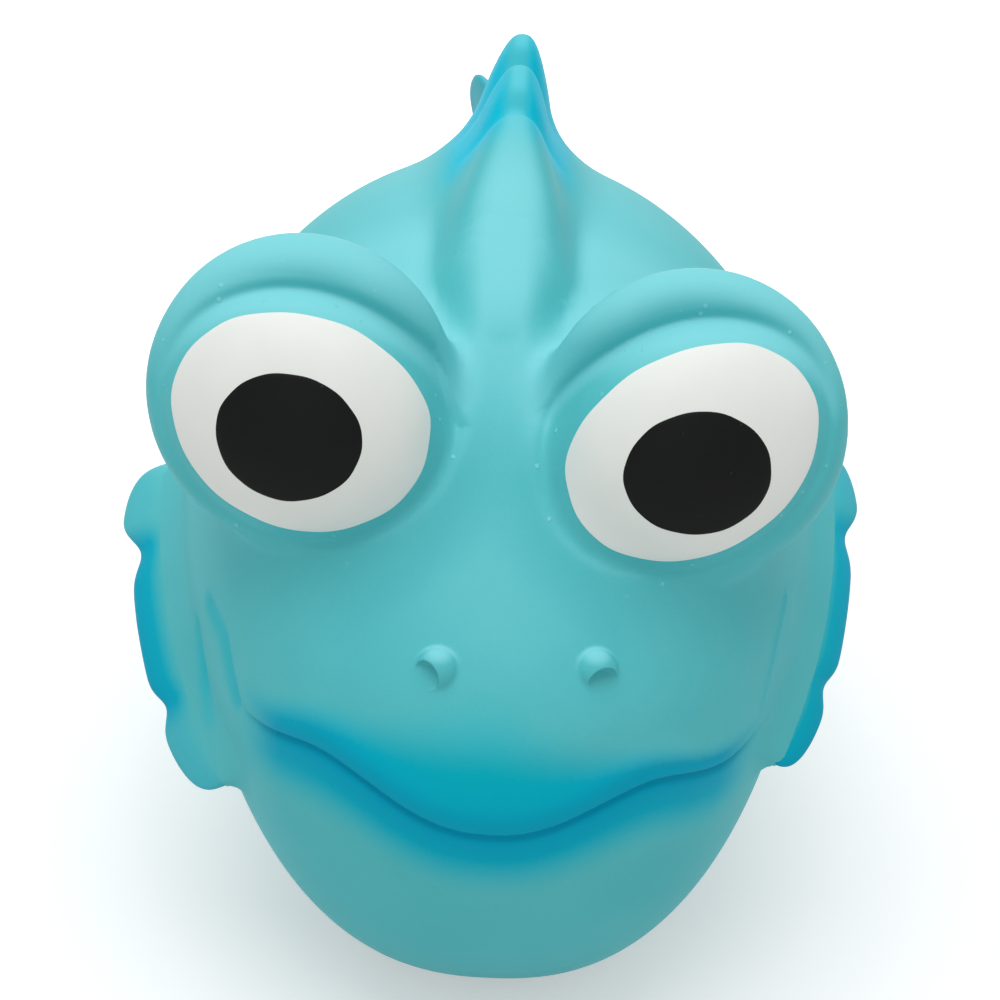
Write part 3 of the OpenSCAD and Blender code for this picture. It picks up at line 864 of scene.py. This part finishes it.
class Socket:
    """A node's output that can be added, multiplied and so on."""

    def __init__(self, finish, link):
        self.finish = finish
        self.link = link

    def math_node(self, operation, a, b):
        return self.finish.add("ShaderNodeMath", {"operation": operation}, {0: a, 1: b})

    def __add__(self, other):
        return self.math_node("ADD", self, other)

    __radd__ = __add__

    def __mul__(self, other):
        return self.math_node("MULTIPLY", self, other)

    __rmul__ = __mul__

    def __sub__(self, other):
        return self.math_node("SUBTRACT", self, other)

    def __rsub__(self, other):
        return self.math_node("SUBTRACT", other, self)


# %% Finishes


class Finish:
    """One material or world, with one way to add a node."""

    def __init__(self, data, shader="Principled BSDF", **constants):
        data.use_nodes = True
        self.data = data
        self.tree = data.node_tree
        self.shader = self.tree.nodes[shader]
        self.set(**constants)
        self.place = self.add("ShaderNodeTexCoord", output="Object")

    def add(self, kind, settings=None, inputs=None, output=0):
        node = self.tree.nodes.new(kind)
        for name, value in (settings or {}).items():
            setattr(node, name, value)
        for name, value in (inputs or {}).items():
            self.put(node.inputs[name], value)
        return Socket(self, node.outputs[output])

    def put(self, socket, value):
        if isinstance(value, Socket):
            self.tree.links.new(value.link, socket)
        else:
            socket.default_value = value

    def set(self, **sockets):
        for name, value in sockets.items():
            self.put(self.shader.inputs[name.replace("_", " ")], value)

    def noise(self, size, detail=2, roughness=0.5):
        """Soft noise from 0 to 1, with grains of about the given size in metres."""
        return self.add(
            "ShaderNodeTexNoise", None,
            {"Vector": self.place, "Scale": 1 / size, "Detail": detail, "Roughness": roughness},
        )

    def spots(self, size):
        """Distance to the nearest of many scattered points, from 0 at a point."""
        return self.add("ShaderNodeTexVoronoi", None, {"Vector": self.place, "Scale": 1 / size})

    def step(self, value, low, high):
        return self.add(
            "ShaderNodeMapRange", {"interpolation_type": "SMOOTHSTEP"},
            {"Value": value, "From Min": low, "From Max": high},
        )

    def mix(self, share, a, b):
        return self.add("ShaderNodeMix", {"data_type": "RGBA"}, {0: share, 6: a, 7: b}, output=2)

    def read(self, name):
        return self.add("ShaderNodeAttribute", {"attribute_name": name}, output="Fac")

    def seen(self):
        """1 for rays that the camera sees straight, in a mirror or through glass, and 0 for light."""
        kinds = ("Is Camera Ray", "Is Glossy Ray", "Is Transmission Ray")
        camera, glossy, through = (self.add("ShaderNodeLightPath", output=kind) for kind in kinds)
        return self.add("ShaderNodeMath", {"operation": "MINIMUM"}, {0: camera + glossy + through, 1: 1})

    def bump(self, height, distance, strength):
        values = {"Height": height, "Distance": distance, "Strength": strength}
        return self.add("ShaderNodeBump", None, values)


def new_material(name):
    return bpy.data.materials.new(name)


def colour(red, green, blue):
    """An sRGB colour, 0 to 255, as the linear one that a shader takes."""
    def linear(c):
        c /= 255
        return c / 12.92 if c < 0.04045 else ((c + 0.055) / 1.055) ** 2.4
    return (linear(red), linear(green), linear(blue), 1.0)


print("middle grey in linear light:", round(colour(128, 128, 128)[0], 3))

# %% [markdown]
# ## Where the blue paint goes
# The painter sprays along the lips, the edges of the fins and the slits of the gills, and the spray fades out
# over a centimetre. Where the latex faces up it is painted paler, a painted sheen of the lamp above.
# How much paint a vertex has is worked out here and kept on the mesh; the finish adds the fine spatter.

# %% Spray on the casting
SPRAY_LOW, SPRAY_LOW_FADE = 5.2 * mm, 6 * mm
SPRAY_TOP, SPRAY_SIDE, SPRAY_W = 7 * mm, {1: 2.2 * mm, -1: 3 * mm}, 11 * mm
SPRAY_TURN, SPRAY_SOFT = 12 * mm, 0.9
SPRAY_PAST, SPRAY_END_FADE = 2 * mm, 6 * mm
GILL_SPRAY, GILL_SPRAY_W = {-1: 0.6, 1: 0.2}, 1.3 * mm
DORSAL_PAINT_FROM, DORSAL_PAINT_FADE, DORSAL_END_FADE = 6 * mm, 9 * mm, 8 * mm
FOOT_HALF_W, FOOT_FADE, FOOT_RISE, FOOT_BELOW = 4.5 * mm, 2.5 * mm, 3 * mm, 0.7
LIP_SHADE_W, PIMPLE_W = 4.5 * mm, 1.6 * mm


def mouth_spray(p):
    """Full round the middle of the upper lip, a band along the lower one, thin towards the left corner."""
    above, x = mouth_above(p), p[:, 0]
    top = SPRAY_TOP * bump(x, SPRAY_W) + mix(SPRAY_SIDE[-1], SPRAY_SIDE[1], smooth(x / SPRAY_TURN))
    over = smooth((top - above) / (SPRAY_SOFT * top) + 0.5)
    under = smooth((SPRAY_LOW + above) / SPRAY_LOW_FADE + 0.5)
    ends = smooth((MOUTH_HALF + SPRAY_PAST - np.abs(x - MOUTH_SHIFT)) / SPRAY_END_FADE)
    return ends * np.where(above > 0, over, under) * (p[:, 1] < 0)


def gill_spray(p):
    return np.max([GILL_SPRAY[g["side"]] * bump(gill_distance(p, g), GILL_SPRAY_W) for g in GILLS], axis=0)


def dorsal_along(y):
    """From the first notch of the dorsal fin to its end, fading at both."""
    return smooth((y - DORSAL_PAINT_FROM) / DORSAL_PAINT_FADE) * smooth((DORSAL_END - y) / DORSAL_END_FADE)


def dorsal_foot_spray(p):
    """The fillet on both sides of the dorsal fin's root."""
    above = p[:, 2] - np.interp(p[:, 1], root_y, root_z)
    beside = np.maximum(np.abs(p[:, 0] - DORSAL_X) - FOOT_HALF_W, 0)
    return bump(beside, FOOT_FADE) * smooth(above / FOOT_RISE + FOOT_BELOW) * dorsal_along(p[:, 1])


p = points_of(skin.data)
at_dorsal = dorsal_foot_spray(p)
sprayed = np.maximum.reduce([mouth_spray(p), gill_spray(p), at_dorsal])
set_attribute(skin.data, "airbrush", sprayed)
# A brighter blue on the dorsal fin's foot, as on the dorsal fin itself
set_attribute(skin.data, "dorsal_blue", at_dorsal)
# Painted shade: the blue darkens within a few millimetres of the mouth line, in the crease and under the lip
set_attribute(skin.data, "deep", bump(mouth_above(p), LIP_SHADE_W) * mouth_fade(p))
set_attribute(skin.data, "pimples", bump(rim_nearest(p), PIMPLE_W))
print("casting: paint on", round(float((sprayed > 0.5).mean()), 3), "of its vertices")

# %% Spray on the fins
FIN_EDGE_COAT, FIN_EDGE_W, FIN_FLANK_FADE = 0.35, 0.5 * mm, 1.6 * mm
# Where the paint starts between root and edge, and how much the lowest and highest lobes get
LOBES = {"left": (0.0, 1.0, 0.4), "right": (0.1, 0.3, 0.15), "tail": (0.45, 0.5, 0.4)}
LOBE_LOW, LOBE_HIGH, LOBE_FADE, PAINT_OVER = 0.22, 0.78, 0.1, 0.5


def dorsal_spray(p):
    """The flanks of the fin, with a thinner coat along its edge."""
    middle = DORSAL_X + DORSAL_LEAN * (p[:, 2] - root_z.max())
    flank = smooth((np.abs(p[:, 0] - middle) - FIN_EDGE_W) / FIN_FLANK_FADE)
    return dorsal_along(p[:, 1]) * mix(FIN_EDGE_COAT, 1, flank)


def value_of(mesh, name):
    values = np.empty(len(mesh.vertices), np.float32)
    mesh.attributes[name].data.foreach_get("value", values)
    return values


set_attribute(dorsal.data, "airbrush", dorsal_spray(points_of(dorsal.data)))
set_attribute(dorsal.data, "dorsal_blue", np.ones(len(dorsal.data.vertices)))
set_attribute(dorsal.data, "deep", np.zeros(len(dorsal.data.vertices)))
for name, piece in (*side_fins.items(), ("tail", tail)):
    edge, along = value_of(piece.data, "edge"), value_of(piece.data, "along_root")
    start, low, high = LOBES[name]
    lowest = mix(1, low, smooth((LOBE_LOW - along) / LOBE_FADE + 0.5))
    highest = mix(1, high, smooth((along - LOBE_HIGH) / LOBE_FADE + 0.5))
    set_attribute(piece.data, "airbrush", smooth((edge - start) / PAINT_OVER) * (lowest * highest))
    set_attribute(piece.data, "dorsal_blue", np.zeros(len(edge)))
    # On the side fins and the tail the same darker blue grows towards the edge
    set_attribute(piece.data, "deep", edge)
print("fins: mean paint", {o.name: round(float(value_of(o.data, "airbrush").mean()), 2) for o in fins})

# %% Paler tops, a painted sheen
SHEEN_FROM, SHEEN_BROW, SHEEN_BROW_W = 0.68, 0.6, 2 * mm
SHEEN_BACK, SHEEN_BACK_Y = 0.6, 10 * mm


def normals_of(mesh):
    normals = np.empty(len(mesh.vertices) * 3, np.float32)
    mesh.vertex_normals.foreach_get("vector", normals)
    return normals.reshape(-1, 3)


def brow_near(p):
    away = [np.maximum(brow_distance(p, side), 0) for side in SIDES.values()]
    return np.max([bump(a, SHEEN_BROW_W) for a in away], axis=0)


# Painted sheen: faces that point up are painted paler, starting lower near the brows and fading towards the
# back
for piece in (skin, *fins):
    up, at = normals_of(piece.data)[:, 2], points_of(piece.data)
    start = SHEEN_FROM - SHEEN_BROW * brow_near(at)
    fade = mix(1, SHEEN_BACK, smooth(at[:, 1] / SHEEN_BACK_Y))
    set_attribute(piece.data, "painted_sheen", smooth((up - start) / (1 - start)) * fade)
print("casting: mean bloom", round(float(value_of(skin.data, "painted_sheen").mean()), 3))

# %% [markdown]
# ## Latex, paint and plastic
# Dry latex is matt, with a very fine grain from the plaster and a few pimples round the eyes. The paints on
# the eyes have a satin gloss with brush marks. The squeaker's parts are plain moulded plastic.

# %% Latex
# The palest latex colour serves both the painted sheen on upward faces and the real pimples
LATEX, LATEX_PALE, LATEX_SHEEN_AND_PIMPLES = colour(88, 194, 200), colour(98, 200, 206), colour(130, 217, 224)
# The darkest blue is painted shade at the mouth's crease, and a darker tone towards the fins' edges
AIRBRUSH, AIRBRUSH_DORSAL, AIRBRUSH_LIP_SHADE_AND_EDGE = colour(0, 190, 208), colour(0, 200, 228), colour(0, 168, 200)


def latex_finish():
    f = Finish(new_material("latex"), Specular_IOR_Level=0.06)
    cloud = f.noise(18 * mm, 3)
    grain = f.noise(0.35 * mm, 3, 0.6)
    spatter = f.noise(0.5 * mm, 1)
    pimple = f.step(f.spots(2.2 * mm), 0.14, 0.07) * f.read("pimples")
    base = f.mix(f.step(cloud, 0.35, 0.7) * 0.6 + (grain - 0.5) * 0.8, LATEX, LATEX_PALE)
    # Painted sheen on upward faces, and the pimples, turn the base towards the palest colour
    base = f.mix(f.read("painted_sheen") + pimple, base, LATEX_SHEEN_AND_PIMPLES)
    paint = f.read("airbrush") * (0.98 + spatter * 0.16)
    # deep: painted shade at the mouth, and a darker blue towards the edges of the side fins and the tail
    blue = f.mix(f.read("deep"), f.mix(f.read("dorsal_blue"), AIRBRUSH, AIRBRUSH_DORSAL), AIRBRUSH_LIP_SHADE_AND_EDGE)
    f.set(
        Base_Color=f.mix(paint, base, blue),
        Roughness=0.5 + (grain - 0.5) * 0.25,
        Normal=f.bump(grain + pimple * 6, 0.03 * mm, 0.5),
    )
    return f.data


latex = latex_finish()
for piece in (skin, *fins):
    piece.data.materials.clear()
    piece.data.materials.append(latex)
print("latex:", len(latex.node_tree.nodes), "nodes")

# %% Eye paints


def white_finish():
    f = Finish(new_material("white_paint"), Specular_IOR_Level=0.25)
    brush = f.noise(1.2 * mm, 4, 0.6)
    f.set(
        Base_Color=f.mix(f.noise(6 * mm), colour(234, 238, 233), colour(241, 244, 240)),
        Roughness=0.4 + (brush - 0.5) * 0.2,
        Normal=f.bump(brush, 0.05 * mm, 0.25),
    )
    return f.data


def black_finish():
    f = Finish(new_material("black_paint"), Specular_IOR_Level=0.12)
    brush = f.noise(0.9 * mm, 4, 0.6)
    dust = f.step(f.spots(2.5 * mm), 0.05, 0.02)
    f.set(
        Base_Color=f.mix(dust * 0.5, f.mix(brush, colour(6, 7, 7), colour(12, 13, 13)), colour(70, 72, 70)),
        Roughness=0.42 + (brush - 0.5) * 0.25,
        Normal=f.bump(brush, 0.06 * mm, 0.3),
    )
    return f.data


eye_paint = {"white": white_finish(), "pupil": black_finish()}
for (which, kind), piece in coats.items():
    piece.data.materials.append(eye_paint[kind])
print("eye paints:", [paint.name for paint in eye_paint.values()])

# %% Squeaker plastics


def plastic_finish(name, red, green, blue, roughness):
    f = Finish(new_material(name))
    flow = f.noise(3 * mm, 3)
    f.set(
        Base_Color=f.mix(flow, colour(red, green, blue), colour(red - 10, green - 9, blue - 12)),
        Roughness=roughness + (flow - 0.5) * 0.15,
        Normal=f.bump(f.noise(0.25 * mm), 0.02 * mm, 0.3),
    )
    return f.data


squeaker_plastic = plastic_finish("squeaker_plastic", 240, 240, 236, 0.45)
reed_film = plastic_finish("reed_film", 214, 228, 232, 0.25)
for name in ("squeaker_cup", "reed_block", "reed_clamp", "squeaker_cap", "reed"):
    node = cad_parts[name]
    node.data.materials.clear()
    node.data.materials.append(reed_film if name == "reed" else squeaker_plastic)
print("plastics:", squeaker_plastic.name, reed_film.name)

# %% [markdown]
# ## The pieces in place
# The belly gives way when the toy is pressed. Here the new pieces are baked in place, the built solids they
# stand for are hidden, and the eye paints are hung on the upper body.

# %% Bodies and replaced solids
FIN_STILL, FIN_FREE = 1.5 * mm, 5 * mm

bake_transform(skin)
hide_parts("body_shell", "belly_skin", "floor_pad")

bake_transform(dorsal)
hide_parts("dorsal_fin")

for name, side in SIDES.items():
    piece = side_fins[name]
    roots = side_root(side)
    middle, way = roots.mean(0), side_axes(side, roots)[1]
    name + "_fin"
    middle + FIN_STILL * way
    middle + FIN_FREE * way
    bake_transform(piece)
    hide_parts(name + "_side_fin")

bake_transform(tail)
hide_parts("tail_fin")

for (which, kind), piece in coats.items():
    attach(piece, "upper")
    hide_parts(f"{which}_eye_white" if kind == "white" else f"{which}_pupil")
print("pieces that bend:", [o.name for o in (skin, *fins)])

# %% [markdown]
# ## Floor, light and camera
# A wide soft lamp above and a pale room give the even light of a product picture. The camera stands well
# back with a long lens, looks down on the fish and leans by a few degrees.

# %% Floor and room
WHITE, BLACK = (1, 1, 1, 1), (0, 0, 0, 1)
GLOW_NEAR, GLOW_FAR = (0.4, 0.4, 0.4, 1), (0.65, 0.65, 0.65, 1)
GLOW_FROM, GLOW_TO = 0.05, 0.16
ROOM_LIGHT = 0.5

bm = bmesh.new()
bmesh.ops.create_grid(bm, x_segments=1, y_segments=1, size=3)
floor = new_piece("floor", bm)
paper = Finish(new_material("floor"), Roughness=0.9, Emission_Strength=1)
seen = paper.seen()
away = paper.add("ShaderNodeVectorMath", {"operation": "LENGTH"}, {0: paper.place}, output="Value")
glow = paper.mix(paper.step(away, GLOW_FROM, GLOW_TO), GLOW_NEAR, GLOW_FAR)
paper.set(Base_Color=colour(222, 222, 222), Emission_Color=paper.mix(seen, BLACK, glow))
floor.data.materials.append(paper.data)

room = Finish(bpy.data.worlds.new("room"), "Background", Color=WHITE)
room.set(Strength=ROOM_LIGHT + room.seen() * (1 - ROOM_LIGHT))
bpy.context.scene.world = room.data
print("room: light at", ROOM_LIGHT, "of the white that is seen")

# %% Lamps
LAMP_TARGET = (0, 0, 0.04)


def lamp(name, place, size, watts):
    light = bpy.data.lights.new(name, "AREA")
    light.shape = "DISK"
    light.size = size
    light.energy = watts
    o = bpy.data.objects.new(name, light)
    bpy.context.scene.collection.objects.link(o)
    o.location = place
    o.rotation_euler = (Vector(LAMP_TARGET) - Vector(place)).to_track_quat("-Z", "Y").to_euler()
    return o


lamps = [
    lamp("top_lamp", place=(-0.08, 0.03, 0.9), size=1.0, watts=5),
    lamp("front_lamp", place=(-0.1, -0.9, 0.5), size=0.5, watts=0.4),
]
print("lamps:", [o.name for o in lamps])

# %% Camera
CAMERA_AZIMUTH, CAMERA_ELEVATION, CAMERA_ROLL = -0.5, 34, 3
CAMERA_AWAY, FRAME_WIDE, SENSOR = 0.52, 0.105, 36
AIM_RIGHT, AIM_UP = 0.63 * mm, 5.145 * mm
(ca, sa), (ce, se), (cr, sr) = turn(CAMERA_AZIMUTH), turn(CAMERA_ELEVATION), turn(CAMERA_ROLL)
back = Vector((sa * ce, -ca * ce, se))
level = Vector((ca, sa, 0))
right = level * cr + back.cross(level) * sr
up = back.cross(right)
aim = Vector(MIDDLE) + right * AIM_RIGHT + up * AIM_UP

camera = bpy.data.objects.new("camera", bpy.data.cameras.new("camera"))
bpy.context.scene.collection.objects.link(camera)
camera.data.sensor_width = SENSOR
camera.data.lens = SENSOR * CAMERA_AWAY / FRAME_WIDE
facing = Matrix((right, up, back)).transposed().to_4x4()
camera.matrix_world = Matrix.Translation(aim + back * CAMERA_AWAY) @ facing
bpy.context.scene.camera = camera
bpy.context.scene.view_settings.view_transform = "Standard"
print("camera:", round(camera.data.lens, 1), "mm lens")
